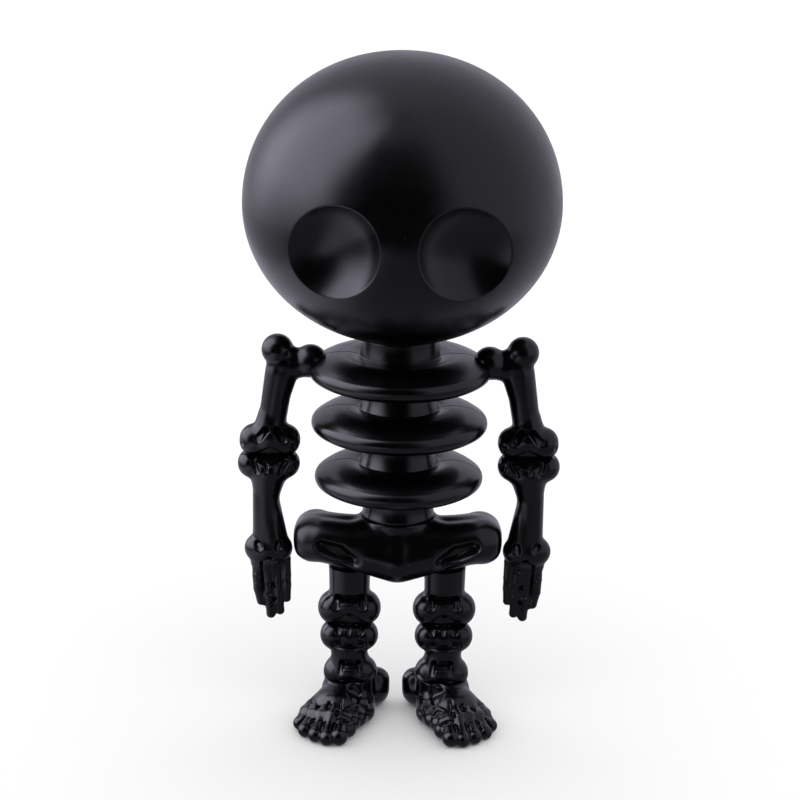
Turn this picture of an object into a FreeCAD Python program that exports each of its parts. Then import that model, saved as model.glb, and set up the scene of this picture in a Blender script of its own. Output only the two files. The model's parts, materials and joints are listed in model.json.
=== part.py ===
import FreeCAD
import Part
import Sketcher
import math
import os
from types import SimpleNamespace

# A standing skeleton figure in rotocast vinyl. It faces -Y, its left side is +X and it stands
# on Z = 0. Millimetres and degrees. Every swivel is a flanged plug that crosses a flat split.
doc = FreeCAD.newDocument("skeleton_figure")
sheet = doc.addObject("Spreadsheet::Sheet", "Sizes")

driving = {
    # heights of the sections, from the floor up
    "foot_height": 11.5,
    "shin_length": 17.3,
    "thigh_length": 18.4,
    "pelvis_height": 16.3,
    "waist_length": 12.0,
    "lower_rib_pitch": 16.7,
    "upper_rib_pitch": 15.9,
    "neck_length": 10.2,
    "jaw_height": 38.7,
    "crown_height": 43.0,
    # clearances
    "swivel_gap": 0.2,
    "running_clearance": 0.08,
    "end_clearance": 0.12,
    "pin_clearance": 0.05,
    "knob_proud": 0.15,
    # head
    "head_radius": 45.5,
    "chin_depth": 40.0,
    "vinyl_wall": 2.5,
    "dish_radius": 14.0,
    "dish_ball": 20.4,
    "dish_yaw": 24.0,
    "dish_drop": 7.2,
    # torso
    "neck_radius": 11.3,
    "spine_radius": 11.7,
    "waist_radius": 10.8,
    "spine_hollow": 14.0,
    "upper_rib_radius": 26.6,
    "middle_rib_radius": 25.75,
    "lower_rib_radius": 24.7,
    "rib_half": 4.7,
    "rib_edge_half": 4.1,
    "rib_slope": 7.2,
    "rib_slope_round": 14.0,
    "rim_half": 1.0,
    "rim_round": 1.25,
    "rib_flatness": 8.0,
    "rib_ring": 10.5,
    "rib_space_half": 2.4,
    "spine_bore": 7.5,
    "locating_pin_radius": 1.3,
    "locating_pin_reach": 3.0,
    "locating_pin_inset": 7.0,
    # plugs
    "plug_stem": 4.0,
    "plug_flange": 5.6,
    "plug_flange_thick": 1.5,
    "plug_reach": 2.6,
    "shoulder_stem": 1.1,
    "shoulder_flange": 1.7,
    "shoulder_flange_thick": 1.2,
    "elbow_stem": 1.3,
    "elbow_flange": 2.1,
    "elbow_flange_thick": 1.1,
    "elbow_pin_reach": 3.0,
    "leg_stem": 1.6,
    "leg_flange": 2.4,
    "leg_flange_thick": 1.3,
    "leg_pin_reach": 3.0,
    # arm
    "shoulder_x": 26.0,
    "shoulder_lift": 2.1,
    "shoulder_ball": 5.0,
    "shoulder_plug_reach": 11.2,
    "lobe_x": 35.7,
    "lobe_lift": 3.5,
    "lobe_radius": 4.6,
    "upper_shaft_x": 35.1,
    "upper_shaft_drop": 3.4,
    "upper_shaft_radius": 4.05,
    "arm_neck_radius": 3.75,
    "lobe_root_radius": 3.95,
    "elbow_x": 38.2,
    "elbow_drop": 28.2,
    "condyle_radius": 4.4,
    "condyle_half_span": 4.5,
    "condyle_rise": 3.6,
    "ulna_radius": 4.3,
    "ulna_half_span": 4.9,
    "ulna_sink": 3.0,
    "forearm_radius": 3.85,
    "forearm_mid_x": 39.1,
    "forearm_mid_drop": 39.2,
    "wrist_x": 38.6,
    "wrist_drop": 57.7,
    "wrist_radius": 5.2,
    "wrist_half_span": 1.9,
    "knuckle_drop": 68.5,
    "palm_radius": 2.4,
    "finger_pitch": 2.8,
    "finger_radius": 1.45,
    "middle_tip_drop": 79.9,
    "index_short": 0.9,
    "ring_short": 0.9,
    "little_short": 2.9,
    "thumb_radius": 1.5,
    "thumb_front": 3.4,
    "thumb_drop": 72.0,
    # pelvis
    "wing_x": 22.6,
    "wing_radius": 8.0,
    "wing_half_depth": 4.5,
    "wing_height": 9.4,
    "hub_radius": 11.3,
    "crest_radius": 7.0,
    "keel_front": 6.0,
    "keel_radius": 6.5,
    "keel_height": 5.0,
    # leg
    "hip_x": 14.2,
    "thigh_radius": 6.0,
    "knee_radius": 5.6,
    "knee_half_span": 3.95,
    "knee_rise": 5.0,
    "tibia_radius": 5.0,
    "tibia_half_span": 3.85,
    "tibia_sink": 3.8,
    "shin_radius": 5.65,
    "ankle_radius": 4.6,
    "ankle_half_span": 4.0,
    "ankle_rise": 3.1,
    # foot
    "talus_radius": 7.4,
    "heel_radius": 5.3,
    "heel_reach": 8.0,
    "heel_angle": 46.0,
    "big_toe_radius": 3.4,
    "toe_radius": 2.9,
    "big_toe_angle": 4.5,
    "second_toe_angle": 12.5,
    "middle_toe_angle": 22.5,
    "fourth_toe_angle": 33.5,
    "little_toe_angle": 45.5,
    "big_toe_reach": 27.2,
    "second_toe_reach": 27.8,
    "middle_toe_reach": 27.0,
    "fourth_toe_reach": 25.4,
    "little_toe_reach": 21.8,
    "metatarsal_radius": 4.6,
    "metatarsal_start": 2.0,
    "instep_height": 6.2,
    "sole_flat": 0.35,
}
for row, (word, number) in enumerate(driving.items(), start=1):
    sheet.set(f"A{row}", str(number))
    sheet.setAlias(f"A{row}", word)
doc.recompute()


class Size:
    """A number with the sheet expression that gives it, so that a property can be bound to it."""

    def __init__(self, text, number):
        self.text = text
        self.number = number

    def __add__(self, other):
        other = sized(other)
        return Size(f"({self.text} + {other.text})", self.number + other.number)

    def __sub__(self, other):
        other = sized(other)
        return Size(f"({self.text} - {other.text})", self.number - other.number)

    def __mul__(self, other):
        other = sized(other)
        return Size(f"({self.text} * {other.text})", self.number * other.number)

    def __truediv__(self, other):
        other = sized(other)
        return Size(f"({self.text} / {other.text})", self.number / other.number)

    def __neg__(self):
        return Size(f"(-1 * {self.text})", -self.number)

    def __rsub__(self, other):
        return sized(other) - self

    __radd__ = __add__


def sized(value):
    return value if isinstance(value, Size) else Size(repr(float(value)), float(value))


def root(size):
    return Size(f"sqrt({size.text})", math.sqrt(size.number))


def sine(size):
    size = sized(size)
    return Size(f"sin({size.text})", math.sin(math.radians(size.number)))


def cosine(size):
    size = sized(size)
    return Size(f"cos({size.text})", math.cos(math.radians(size.number)))


given = SimpleNamespace(**{w: Size("Sizes." + w, n) for w, n in driving.items()})

# split planes and levels, each worked out from the section heights
ankle_z = given.foot_height
knee_z = ankle_z + given.shin_length
hip_z = knee_z + given.thigh_length
waist_z = hip_z + given.pelvis_height
lower_rib_z = waist_z + given.waist_length
middle_rib_z = lower_rib_z + given.lower_rib_pitch
upper_rib_z = middle_rib_z + given.upper_rib_pitch
neck_z = upper_rib_z + given.neck_length
head_z = neck_z + given.jaw_height
shoulder_z = upper_rib_z + given.shoulder_lift
elbow_z = shoulder_z - given.elbow_drop
half_gap = given.swivel_gap / 2


def placed(piece, at):
    for letter, value in zip("xyz", at):
        piece.setExpression(f"Placement.Base.{letter}", sized(value).text)
    return piece


def primitive(kind, name, at, **sizes):
    piece = doc.addObject("Part::" + kind, name)
    for word, size in sizes.items():
        piece.setExpression(word, sized(size).text)
    return placed(piece, at)


def ball(name, at, radius):
    return primitive("Sphere", name, at, Radius=radius)


def rod(name, start, end, first_radius, last_radius=None):
    """A round bar between two points, tapered when it has two radii."""
    ways = [sized(b) - a for a, b in zip(start, end)]
    length = root(ways[0] * ways[0] + ways[1] * ways[1] + ways[2] * ways[2])
    if last_radius is None:
        piece = primitive("Cylinder", name, start, Radius=first_radius, Height=length)
    else:
        sizes = dict(Radius1=first_radius, Radius2=last_radius, Height=length)
        piece = primitive("Cone", name, start, **sizes)
    way = FreeCAD.Vector(*[w.number for w in ways])
    turn = FreeCAD.Rotation(FreeCAD.Vector(0, 0, 1), way)
    base = FreeCAD.Vector(*[sized(v).number for v in start])
    piece.Placement = FreeCAD.Placement(base, turn)
    return placed(piece, start)


def capsule(name, start, end, radius):
    """A round bar with ball ends that stand just proud of it."""
    return [
        rod(name + "_bar", start, end, radius - given.knob_proud),
        ball(name + "_start", start, radius),
        ball(name + "_end", end, radius),
    ]


def lying(name, middle, half_span, radius):
    """A capsule along X."""
    x, y, z = middle
    return capsule(name, (x - half_span, y, z), (x + half_span, y, z), radius)


def joined(name, pieces):
    fused = doc.addObject("Part::MultiFuse", name)
    fused.Shapes = pieces
    return fused


def cut(name, base, tools):
    result = doc.addObject("Part::Cut", name)
    result.Base = base
    result.Tool = tools[0] if len(tools) == 1 else joined(name + "_tools", tools)
    return result


def kept(name, base, tool):
    result = doc.addObject("Part::MultiCommon", name)
    result.Shapes = [base, tool]
    return result


def slab(name, low, high):
    """A block wider than the figure between two heights."""
    wide = given.head_radius * 4
    sizes = dict(Length=wide, Width=wide, Height=high - low)
    return primitive("Box", name, (-wide / 2, -wide / 2, low), **sizes)


def flanged(name, base, way, stem, flange, thick, ends, clear=None):
    """A stem along way with a flange at each end, grown by clear when it is a space for one."""
    radial = given.running_clearance if clear else sized(0)
    axial = given.end_clearance if clear else sized(0)
    low, high = ends

    def along(distance):
        return tuple(b + w * distance for b, w in zip(base, way))

    return joined(
        name,
        [
            rod(name + "_stem", along(low), along(high), stem + radial),
            rod(name + "_low", along(low - axial), along(low + thick + axial), flange + radial),
            rod(name + "_high", along(high - thick - axial), along(high + axial), flange + radial),
        ],
    )


def lathe(name, stations):
    """A body turned about Z. A station is radius, height and the radius of the arc to the next
    one, or None for a straight line; a negative radius hollows the side."""
    body = doc.addObject("PartDesign::Body", name)
    sketch = body.newObject("Sketcher::SketchObject", name + "_outline")
    plane = [f for f in body.Origin.OriginFeatures if f.Role == "XZ_Plane"][0]
    sketch.AttachmentSupport = [(plane, "")]
    sketch.MapMode = "FlatFace"
    ends = []
    for here, there in zip(stations, stations[1:] + stations[:1]):
        a = FreeCAD.Vector(sized(here[0]).number, sized(here[1]).number, 0)
        b = FreeCAD.Vector(sized(there[0]).number, sized(there[1]).number, 0)
        if here[2] is None:
            index = sketch.addGeometry(Part.LineSegment(a, b), False)
            ends.append((index, 1, 2))
            continue
        radius = abs(here[2].number)
        chord = b - a
        off = math.sqrt(radius ** 2 - (chord.Length / 2) ** 2)
        side = FreeCAD.Vector(chord.y, -chord.x, 0) / chord.Length
        clockwise = here[2].number > 0
        centre = (a + b) / 2 + side * (off if clockwise else -off)
        first, last = (b, a) if clockwise else (a, b)
        angles = [math.atan2(p.y - centre.y, p.x - centre.x) for p in (first, last)]
        circle = Part.Circle(centre, FreeCAD.Vector(0, 0, 1), radius)
        index = sketch.addGeometry(Part.ArcOfCircle(circle, *angles), False)
        ends.append((index, 2, 1) if clockwise else (index, 1, 2))
        text = here[2].text if clockwise else (-here[2]).text
        number = sketch.addConstraint(Sketcher.Constraint("Radius", index, radius))
        sketch.setExpression(f"Constraints[{number}]", text)
    for at, (here, end) in enumerate(zip(stations, ends)):
        before = ends[at - 1]
        meeting = (before[0], before[2], end[0], end[1])
        sketch.addConstraint(Sketcher.Constraint("Coincident", *meeting))
        for kind, size in zip(("DistanceX", "DistanceY"), here):
            if sized(size).number == 0:
                on_axis = Sketcher.Constraint("PointOnObject", end[0], end[1], -2)
                sketch.addConstraint(on_axis)
                continue
            value = Sketcher.Constraint(kind, -1, 1, end[0], end[1], sized(size).number)
            number = sketch.addConstraint(value)
            sketch.setExpression(f"Constraints[{number}]", sized(size).text)
    turned = body.newObject("PartDesign::Revolution", name + "_turned")
    turned.Profile = sketch
    turned.ReferenceAxis = (sketch, ["V_Axis"])
    turned.Angle = 360
    return body


def oval(width, height, level, degrees):
    """Stations on an ellipse about (0, level), joined by arcs of its own curvature. The arc
    that starts on the axis has its centre there too, so that the crown closes."""
    rows = []
    for here, there in zip(degrees, degrees[1:]):
        middle = (here + there) / 2
        broad = width * sine(middle)
        tall = height * cosine(middle)
        reach = broad * broad + tall * tall
        bend = reach * root(reach) / (width * height)
        radius = width * cosine(here)
        if here == 90:
            radius = sized(0)
            over = width * cosine(there)
            drop = height * (1 - sine(there))
            bend = (over * over + drop * drop) / (drop * 2)
        rows.append((radius, level + height * sine(here), bend))
    return rows


finished = {}


def finish(name, piece):
    piece.Label = name
    finished[name] = piece


# Plugs and the spaces they turn in.
upright = (sized(0), sized(0), sized(1))


def plug_sizes(kind):
    words = (f"{kind}_stem", f"{kind}_flange", f"{kind}_flange_thick")
    return [getattr(given, w) for w in words]


def plug_pair(name, base, way, kind, ends):
    sizes = plug_sizes(kind)
    solid = flanged(name, base, way, *sizes, ends)
    space = flanged(name + "_space", base, way, *sizes, ends, clear=True)
    finish(name, solid)
    return solid, space


neck_ends = (
    -given.plug_reach - given.plug_flange_thick,
    given.vinyl_wall + half_gap + given.end_clearance + given.plug_flange_thick,
)
neck_plug, neck_space = plug_pair("neck_plug", (0, 0, neck_z), upright, "plug", neck_ends)
waist_reach = given.plug_reach + given.plug_flange_thick
waist_ends = (-waist_reach, waist_reach)
waist_plug, waist_space = plug_pair("waist_plug", (0, 0, waist_z), upright, "plug", waist_ends)


# Head: an egg on its narrow end, hollow, with two round dishes for eyes.
def egg(name, wall, floor):
    width = given.head_radius - wall
    drop = head_z - floor
    chin = given.chin_depth - wall
    low = width * root(1 - drop * drop / (chin * chin))
    lowest = -math.degrees(math.asin(drop.number / chin.number))
    steps = [90, 67.5, 45, 22.5, 0]
    below = [0, -22.5, -45, -60, lowest]
    rows = oval(width, given.crown_height - wall, head_z, steps)
    rows += oval(width, chin, head_z, below)
    return lathe(name, rows + [(low, floor, None), (0, floor, None)])


head_form = egg("head_form", sized(0), neck_z + half_gap)
head_space = egg("head_space", given.vinyl_wall, neck_z + half_gap + given.vinyl_wall)
ball_away = root(given.dish_ball * given.dish_ball - given.dish_radius * given.dish_radius)
rim_away = root(given.head_radius * given.head_radius - given.dish_radius * given.dish_radius)
dish_away = ball_away + rim_away


def dish(name, side, radius):
    level = dish_away * cosine(given.dish_drop)
    x = level * sine(given.dish_yaw) * side
    y = -level * cosine(given.dish_yaw)
    return ball(name, (x, y, head_z - dish_away * sine(given.dish_drop)), radius)


dish_backs = [
    dish("dish_back_left", 1, given.dish_ball + given.vinyl_wall),
    dish("dish_back_right", -1, given.dish_ball + given.vinyl_wall),
]
head_hollow = cut("head_hollow", head_space, dish_backs)
dishes = [dish("dish_left", 1, given.dish_ball), dish("dish_right", -1, given.dish_ball)]
neck_hole = rod(
    "neck_hole",
    (0, 0, neck_z),
    (0, 0, neck_z + given.vinyl_wall + given.swivel_gap + half_gap),
    given.plug_stem + given.running_clearance,
)
finish("head_shell", cut("head_shell", head_form, [head_hollow, neck_hole] + dishes))


# Torso: three ribs like lenses on a spine, hollow, split front from back.
def rib_top(radius, level):
    edge = radius - given.rib_slope
    bow = (edge - given.spine_radius) * given.rib_flatness
    inset = given.rim_round - root(
        given.rim_round * given.rim_round - given.rim_half * given.rim_half
    )
    return [
        (given.spine_radius, level + given.rib_half, bow),
        (edge, level + given.rib_edge_half, given.rib_slope_round),
        (radius - inset, level + given.rim_half, given.rim_round),
    ]


def rib_foot(radius, level, below, hollow):
    edge = radius - given.rib_slope
    bow = (edge - given.spine_radius) * given.rib_flatness
    inset = given.rim_round - root(
        given.rim_round * given.rim_round - given.rim_half * given.rim_half
    )
    return [
        (radius - inset, level - given.rim_half, given.rib_slope_round),
        (edge, level - given.rib_edge_half, bow),
        (below, level - given.rib_half, hollow),
    ]


ribs = [
    (given.upper_rib_radius, upper_rib_z),
    (given.middle_rib_radius, middle_rib_z),
    (given.lower_rib_radius, lower_rib_z),
]
torso_rows = [
    (0, neck_z - half_gap, None),
    (given.neck_radius, neck_z - half_gap, None),
    (given.neck_radius, upper_rib_z + given.rib_half, None),
]
for radius, level in ribs:
    torso_rows += rib_top(radius, level)
    last = level is lower_rib_z
    below = given.waist_radius if last else given.spine_radius
    torso_rows += rib_foot(radius, level, below, None if last else -given.spine_hollow)
torso_rows += [(given.waist_radius, waist_z + half_gap, None), (0, waist_z + half_gap, None)]
hollow_top = neck_z - given.plug_reach - given.plug_flange_thick - given.vinyl_wall
hollow_foot = waist_z + waist_reach + given.vinyl_wall
hollow_rows = [
    (0, hollow_top, None),
    (given.spine_bore, hollow_top, None),
]
for radius, level in ribs[1:]:
    inner = radius - given.rib_ring
    hollow_rows += [
        (given.spine_bore, level + given.rib_space_half, None),
        (inner, level + given.rib_space_half, None),
        (inner, level - given.rib_space_half, None),
        (given.spine_bore, level - given.rib_space_half, None),
    ]
hollow_rows += [(given.spine_bore, hollow_foot, None), (0, hollow_foot, None)]
torso_form = lathe("torso_form", torso_rows)
torso_hollow = lathe("torso_hollow", hollow_rows)


# Arms: each hangs from a ball that turns about X in the rim of the upper rib.
def arm(name, side):
    def point(x, y, drop):
        return (x * side, sized(y), shoulder_z - drop)

    shoulder = point(given.shoulder_x, 0, 0)
    inward = (sized(-side), sized(0), sized(0))
    ends = (-given.shoulder_flange_thick / 2, given.shoulder_plug_reach)
    plug, space = plug_pair(f"shoulder_plug_{name}", shoulder, inward, "shoulder", ends)
    recess = ball(f"shoulder_recess_{name}", shoulder, given.shoulder_ball + given.swivel_gap)

    lobe = point(given.lobe_x, 0, -given.lobe_lift)
    shaft_top = point(given.upper_shaft_x, 0, given.upper_shaft_drop)
    shaft_foot = point(given.elbow_x, 0, given.elbow_drop - given.condyle_rise)
    pieces = [ball(f"humeral_ball_{name}", shoulder, given.shoulder_ball)]
    pieces.append(ball(f"lobe_{name}", lobe, given.lobe_radius))
    pieces.append(rod(f"arm_neck_{name}", shoulder, shaft_top, given.arm_neck_radius))
    pieces += capsule(f"arm_shaft_{name}", shaft_top, shaft_foot, given.upper_shaft_radius)
    pieces.append(rod(f"lobe_root_{name}", shaft_top, lobe, given.lobe_root_radius))
    pieces += lying(
        f"condyles_{name}", shaft_foot, given.condyle_half_span, given.condyle_radius
    )
    elbow = point(given.elbow_x, 0, given.elbow_drop)
    reach = given.elbow_pin_reach + given.elbow_flange_thick
    pin, pin_space = plug_pair(
        f"elbow_pin_{name}", elbow, upright, "elbow", (-reach, reach)
    )
    under = slab(f"under_elbow_{name}", elbow_z - given.condyle_radius * 2, elbow_z + half_gap)
    form = joined(f"upper_arm_form_{name}", pieces)
    finish(f"upper_arm_{name}", cut(f"upper_arm_{name}", form, [plug, pin, under]))

    ulna = point(given.elbow_x, 0, given.elbow_drop + given.ulna_sink)
    middle = point(given.forearm_mid_x, 0, given.forearm_mid_drop)
    wrist = point(given.wrist_x, 0, given.wrist_drop)
    pieces = lying(f"ulna_{name}", ulna, given.ulna_half_span, given.ulna_radius)
    pieces += capsule(f"forearm_top_{name}", ulna, middle, given.forearm_radius)
    pieces.append(rod(f"forearm_foot_{name}", middle, wrist, given.forearm_radius))
    pieces += lying(f"wrist_{name}", wrist, given.wrist_half_span, given.wrist_radius)
    shorts = [given.index_short, sized(0), given.ring_short, given.little_short]
    middle_of_hand = (len(shorts) - 1) / 2
    for number, short in enumerate(shorts):
        x = given.wrist_x + given.finger_pitch * (number - middle_of_hand)
        knuckle = point(x, 0, given.knuckle_drop)
        tip = point(x, 0, given.middle_tip_drop - short - given.finger_radius)
        pieces += capsule(f"palm_{number}_{name}", wrist, knuckle, given.palm_radius)
        pieces += capsule(f"finger_{number}_{name}", knuckle, tip, given.finger_radius)
    thumb_root = point(given.wrist_x - given.finger_pitch, 0, given.wrist_drop)
    thumb_tip = point(
        given.wrist_x - given.finger_pitch * middle_of_hand, -given.thumb_front, given.thumb_drop
    )
    pieces += capsule(f"thumb_{name}", thumb_root, thumb_tip, given.thumb_radius)
    over = slab(f"over_elbow_{name}", elbow_z - half_gap, elbow_z + given.ulna_radius * 2)
    form = joined(f"forearm_form_{name}", pieces)
    finish(f"forearm_{name}", cut(f"forearm_{name}", form, [pin_space, over]))
    return [space, recess]


shoulder_tools = arm("left", 1) + arm("right", -1)
torso_block = cut(
    "torso_block", torso_form, [torso_hollow, neck_plug, waist_space] + shoulder_tools
)


# The halves of the torso locate on pins in the solid rings of the two lower ribs.
def half(name, side):
    wide = given.head_radius * 2
    corner = (-wide / 2, wide * min(side, 0), 0)
    block = primitive("Box", name, corner, Length=wide, Width=wide, Height=neck_z)
    return kept(name + "_half", torso_block, block)


def locating_pins(name, clear):
    pins = []
    for radius, level in ribs[1:]:
        x = radius - given.locating_pin_inset
        for side in (-1, 1):
            start = (x * side, -given.locating_pin_reach, level)
            end = (x * side, given.locating_pin_reach + clear, level)
            thick = given.locating_pin_radius + clear
            pins.append(rod(f"{name}_{len(pins)}", start, end, thick))
    return pins


front_pins = locating_pins("locating_pin", sized(0))
torso_front = joined("torso_front_shell", [half("front_block", -1)] + front_pins)
finish("torso_front_shell", torso_front)
pin_holes = locating_pins("locating_hole", given.pin_clearance)
torso_back = cut("torso_back_shell", half("back_block", 1), pin_holes)
finish("torso_back_shell", torso_back)

# Pelvis: two rolled wings on a hub, with a keel below the front.
wing_z = hip_z + given.wing_height
pelvis_pieces = [
    rod("hub", (0, 0, hip_z + half_gap), (0, 0, waist_z - half_gap), given.hub_radius)
]
for name, side in (("left", 1), ("right", -1)):
    x = given.wing_x * side
    front = (x, -given.wing_half_depth, wing_z)
    back = (x, given.wing_half_depth, wing_z)
    middle = (0, 0, wing_z)
    pelvis_pieces += capsule(f"wing_{name}", front, back, given.wing_radius)
    pelvis_pieces.append(rod(f"front_crest_{name}", middle, front, given.crest_radius))
    pelvis_pieces.append(rod(f"back_crest_{name}", middle, back, given.crest_radius))
    socket_top = (given.hip_x * side, 0, wing_z)
    socket_foot = (given.hip_x * side, 0, hip_z + half_gap)
    pelvis_pieces.append(rod(f"hip_socket_{name}", socket_top, socket_foot, given.thigh_radius))
keel = (0, -given.keel_front, hip_z + given.keel_height)
pelvis_pieces.append(ball("keel", keel, given.keel_radius))
pelvis_form = joined("pelvis_form", pelvis_pieces)
pelvis_tools = [waist_plug]


# Legs: hip, knee and ankle all turn about one upright line.
def leg_pin(name, level):
    reach = given.leg_pin_reach + given.leg_flange_thick
    return plug_pair(name, level, upright, "leg", (-reach, reach))


def foot(name, side, ankle_space):
    def point(reach, degrees, height):
        reach = sized(reach)
        x = given.hip_x + reach * sine(degrees)
        return (x * side, -reach * cosine(degrees), sized(height))

    top = ankle_z - half_gap
    heel_way = given.heel_angle + 180
    heel = point(given.heel_reach, heel_way, given.heel_radius - given.sole_flat)
    sole, centre = (point(sized(0), 0, height) for height in (-given.sole_flat, top))
    pieces = [
        rod(f"talus_{name}", sole, centre, given.talus_radius),
        ball(f"heel_{name}", heel, given.heel_radius),
        rod(f"heel_bone_{name}", heel, sole, given.heel_radius - given.knob_proud),
    ]
    for which in ("big", "second", "middle", "fourth", "little"):
        degrees = getattr(given, which + "_toe_angle")
        reach = getattr(given, which + "_toe_reach")
        radius = given.big_toe_radius if which == "big" else given.toe_radius
        toe = point(reach - radius, degrees, radius - given.sole_flat)
        root_of_toe = point(given.metatarsal_start, degrees, given.instep_height)
        ends = (given.metatarsal_radius, radius - given.knob_proud)
        pieces.append(ball(f"{which}_toe_{name}", toe, radius))
        pieces.append(rod(f"{which}_metatarsal_{name}", root_of_toe, toe, *ends))
    form = joined(f"foot_form_{name}", pieces)
    under = slab(f"under_foot_{name}", -given.foot_height, sized(0))
    finish(f"foot_{name}", cut(f"foot_{name}", form, [ankle_space, under]))


for name, side in (("left", 1), ("right", -1)):
    x = given.hip_x * side
    hip = (x, 0, hip_z)
    knee = (x, 0, knee_z)
    ankle = (x, 0, ankle_z)
    hip_plug, hip_space = leg_pin(f"hip_plug_{name}", hip)
    knee_pin, knee_space = leg_pin(f"knee_pin_{name}", knee)
    ankle_pin, ankle_space = leg_pin(f"ankle_pin_{name}", ankle)
    pelvis_tools.append(hip_plug)

    condyles = (x, 0, knee_z + given.knee_rise)
    thigh_top = (x, 0, hip_z - half_gap)
    pieces = [rod(f"thigh_shaft_{name}", condyles, thigh_top, given.thigh_radius)]
    pieces += lying(f"knee_{name}", condyles, given.knee_half_span, given.knee_radius)
    form = joined(f"thigh_form_{name}", pieces)
    under = slab(f"under_knee_{name}", knee_z - given.knee_radius * 2, knee_z + half_gap)
    finish(f"thigh_{name}", cut(f"thigh_{name}", form, [hip_space, knee_pin, under]))

    tibia = (x, 0, knee_z - given.tibia_sink)
    flare = (x, 0, ankle_z + given.ankle_rise)
    pieces = lying(f"tibia_{name}", tibia, given.tibia_half_span, given.tibia_radius)
    pieces.append(rod(f"shin_shaft_{name}", flare, tibia, given.shin_radius))
    pieces += lying(f"flare_{name}", flare, given.ankle_half_span, given.ankle_radius)
    form = joined(f"shin_form_{name}", pieces)
    over = slab(f"over_shin_{name}", knee_z - half_gap, knee_z + given.tibia_radius * 2)
    low = slab(f"under_shin_{name}", ankle_z - given.ankle_radius * 2, ankle_z + half_gap)
    finish(f"shin_{name}", cut(f"shin_{name}", form, [knee_space, ankle_pin, over, low]))
    foot(name, side, ankle_space)

finish("pelvis", cut("pelvis", pelvis_form, pelvis_tools))

doc.recompute()
faults = [o.Name for o in doc.Objects if {"Invalid", "Error"} & set(o.State)]
if faults:
    raise RuntimeError("these objects failed: " + ", ".join(faults))
for name, piece in finished.items():
    if piece.Shape.isNull() or not piece.Shape.isValid() or not piece.Shape.Solids:
        raise RuntimeError(f"{name} has no valid solid")

os.makedirs("parts", exist_ok=True)
for name, piece in finished.items():
    piece.Shape.exportStep(f"parts/{name}.step")
    solids = len(piece.Shape.Solids)
    print(f"{name}: {solids} solid, {piece.Shape.Volume / 1000:.2f} cm3")
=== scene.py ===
import json
import math
import bmesh
import bpy
import numpy as np
from mathutils import Euler, Matrix, Vector

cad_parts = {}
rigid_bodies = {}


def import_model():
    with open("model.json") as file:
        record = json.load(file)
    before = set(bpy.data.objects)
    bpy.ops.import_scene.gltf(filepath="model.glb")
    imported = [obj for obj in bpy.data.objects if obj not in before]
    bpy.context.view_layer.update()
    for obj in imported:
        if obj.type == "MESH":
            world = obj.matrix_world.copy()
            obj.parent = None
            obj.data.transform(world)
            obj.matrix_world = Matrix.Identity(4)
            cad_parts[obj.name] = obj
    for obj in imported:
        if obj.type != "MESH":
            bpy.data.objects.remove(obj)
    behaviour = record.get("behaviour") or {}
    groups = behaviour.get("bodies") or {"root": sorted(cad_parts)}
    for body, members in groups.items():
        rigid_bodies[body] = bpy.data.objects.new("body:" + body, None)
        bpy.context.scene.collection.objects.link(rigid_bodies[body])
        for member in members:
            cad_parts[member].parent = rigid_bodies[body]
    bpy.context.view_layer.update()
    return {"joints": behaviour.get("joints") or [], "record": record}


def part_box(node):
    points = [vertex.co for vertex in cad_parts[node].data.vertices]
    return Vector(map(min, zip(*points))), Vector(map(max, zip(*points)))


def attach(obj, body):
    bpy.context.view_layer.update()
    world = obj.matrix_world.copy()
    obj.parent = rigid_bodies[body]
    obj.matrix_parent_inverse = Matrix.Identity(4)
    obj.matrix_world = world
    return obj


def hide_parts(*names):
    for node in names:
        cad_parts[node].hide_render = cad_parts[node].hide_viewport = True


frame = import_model()
mm = 0.001
origin = Vector((0, 0, 0))
jointPlace = {j["name"]: Vector(j["pos_m"]) for j in frame["joints"]}


def spanOf(node):
    low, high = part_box(node)
    return Vector(low), Vector(high)


# finishes

vinyl = {
    "colour": (0.0003, 0.0003, 0.0005),
    "worn": (0.0008, 0.0007, 0.0012),
    "roughness": 0.25,
    "roughSpread": 0.07,
    "mottle": 55.0,      # patches per metre of uneven gloss
    "mottleRange": (0.3, 0.7),
    "orangePeel": 1500.0,
    "peelHeight": 0.000012,
    "peelStrength": 0.35,
    "specular": 0.5,
    "dustPerMetre": 420.0,
    "dust": (0.16, 0.16, 0.17),
    "speckEdge": (0.028, 0.045),
    "dustPatches": 130.0,
    "dustWhere": (0.69, 0.72),
    "dustCover": 0.55,
}


def newMaterial(name):
    material = bpy.data.materials.new(name)
    material.use_nodes = True
    tree = material.node_tree
    shader = tree.nodes["Principled BSDF"]
    return material, tree, shader


def noiseNode(tree, where, scale, detail=2.0, roughness=0.5):
    node = tree.nodes.new("ShaderNodeTexNoise")
    node.inputs["Scale"].default_value = scale
    node.inputs["Detail"].default_value = detail
    node.inputs["Roughness"].default_value = roughness
    tree.links.new(where.outputs["Object"], node.inputs["Vector"])
    return node


def rangeNode(tree, source, low, high, toLow, toHigh):
    node = tree.nodes.new("ShaderNodeMapRange")
    node.inputs["From Min"].default_value = low
    node.inputs["From Max"].default_value = high
    node.inputs["To Min"].default_value = toLow
    node.inputs["To Max"].default_value = toHigh
    tree.links.new(source, node.inputs["Value"])
    return node.outputs["Result"]


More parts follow.
